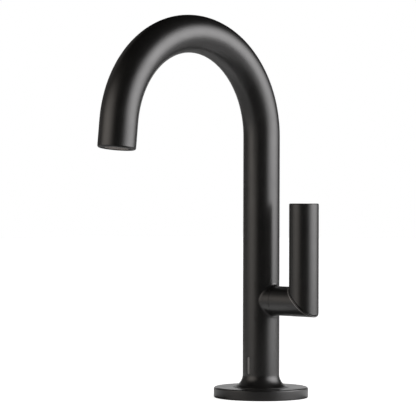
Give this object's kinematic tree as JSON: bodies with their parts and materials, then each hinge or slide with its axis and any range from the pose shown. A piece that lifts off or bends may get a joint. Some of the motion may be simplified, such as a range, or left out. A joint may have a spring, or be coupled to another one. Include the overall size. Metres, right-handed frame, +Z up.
{
  "type": "electronic bathroom faucet",
  "caption": "Deck-mounted gooseneck basin faucet with a mitred upright side lever, a sensor window low on the column and an inline solenoid valve, on a threaded shank.",
  "frame": {"origin": "on the deck, at the centre of the flange's underside, on the column's axis", "axes": "+Z up along the column; -Y towards the user, the way the spout reaches; +X towards the lever"},
  "size_m": [0.0968, 0.2124, 0.3672],
  "materials": {
    "satin_black": "fine satin powder-like coating, matt black",
    "black_trim": "satin black",
    "aerator": "matt grey-brown acetal",
    "lens": "smoked, polished",
    "brass": "turned and milled",
    "steel": "fine turned",
    "copper": "drawn copper tube",
    "winding": "enamelled copper wire",
    "rubber": "matt black",
    "white_plastic": "moulded",
    "grey_plastic": "moulded",
    "ceramic": "lapped ceramic",
    "board": "green solder mask",
    "sensor": "black sensor housing"
  },
  "bodies": {
    "faucet": {"spout_body": "satin_black", "base_flange": "satin_black", "deck_gasket": "rubber", "mounting_shank": "brass", "sealing_washer": "rubber", "clamp_washer": "steel", "mounting_nut": "brass", "inlet_block": "brass", "hot_supply_tube": "copper", "cold_supply_tube": "copper", "board_clips": "white_plastic", "sensor_board": "board", "sensor_module": "sensor", "indicator_lens": "lens", "valve_manifold": "brass", "cartridge_base": "white_plastic", "cartridge_o_rings": "rubber", "fixed_disc": "ceramic", "cartridge_housing": "grey_plastic", "cartridge_nut": "brass", "glide_rings": "white_plastic", "valve_housing": "grey_plastic", "core_tube": "steel", "plunger_spring": "steel", "coil_bobbin": "white_plastic", "coil_winding": "winding", "coil_yoke": "steel", "duct_sleeve": "grey_plastic", "valve_cap": "grey_plastic", "water_liner": "white_plastic", "liner_spacers": "grey_plastic", "outlet_adapter": "black_trim", "aerator_shell": "black_trim", "aerator_screen": "aerator", "flow_regulator": "white_plastic", "aerator_seal": "rubber"},
    "lever": {"lever_sleeve": "satin_black", "lever_post": "satin_black", "stem_grub_screw": "steel", "post_grub_screw": "steel", "cartridge_stem": "brass", "moving_disc": "ceramic", "stem_o_ring": "rubber"},
    "plunger": {"plunger": "steel", "plunger_seal": "rubber"}
  },
  "joints": [
    {"name": "lever_turn", "type": "hinge", "parent": "faucet", "child": "lever", "pos_m": [0.0468, 0, 0.0788], "axis": [1, 0, 0], "range_deg": [0, 90]},
    {"name": "plunger_lift", "type": "slide", "parent": "faucet", "child": "plunger", "axis": [0, 0, 1], "range_m": [0, 0.002], "stiffness_N_per_m": 300, "springref_m": -0.004, "deforming": ["plunger_spring"]}
  ]
}
